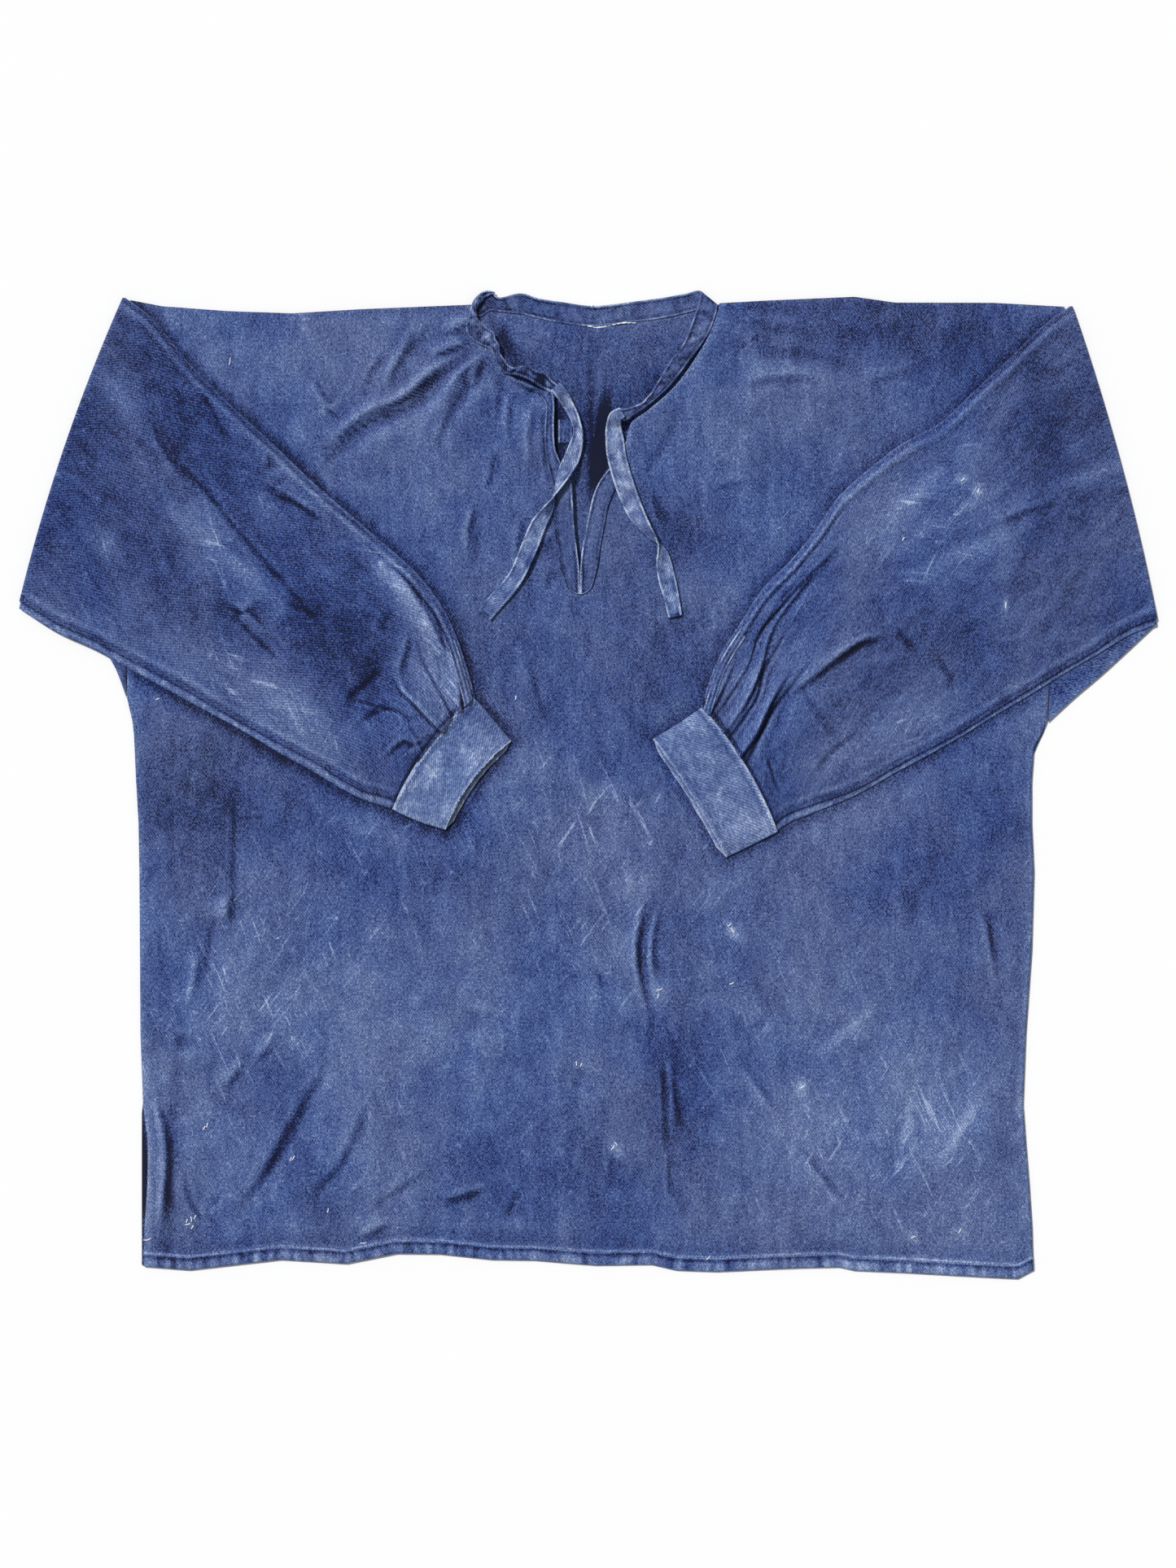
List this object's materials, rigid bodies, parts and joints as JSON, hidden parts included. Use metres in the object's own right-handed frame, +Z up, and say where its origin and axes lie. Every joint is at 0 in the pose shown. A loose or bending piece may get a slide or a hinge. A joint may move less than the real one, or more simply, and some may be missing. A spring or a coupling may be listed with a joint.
{
  "type": "work smock",
  "caption": "Pull-on work smock of blue twill laid flat, sleeves folded over the front, slit neck with a band and tie ends, cuffed wrists.",
  "frame": {"origin": "under the middle of the laid-out smock's outline, on the surface it lies on", "axes": "+X across the smock towards the right of the picture, +Y from the hem to the neck, +Z up from the surface"},
  "size_m": [0.9796, 0.8482, 0.014],
  "materials": {
    "twill": "faded dark blue cotton twill, matt",
    "worn_twill": "the same twill, rubbed paler at edges, matt"
  },
  "bodies": {
    "root": {"back": "twill", "front": "twill", "sleeve_left": "twill", "sleeve_right": "twill", "cuff_left": "worn_twill", "cuff_right": "worn_twill", "neckband_back": "worn_twill", "neckband_left": "worn_twill", "neckband_right": "worn_twill", "tie_left": "worn_twill", "tie_right": "worn_twill", "facing_left": "worn_twill", "facing_right": "worn_twill", "facing_end": "worn_twill", "slit_binding_left": "worn_twill", "slit_binding_right": "worn_twill"}
  },
  "joints": []
}
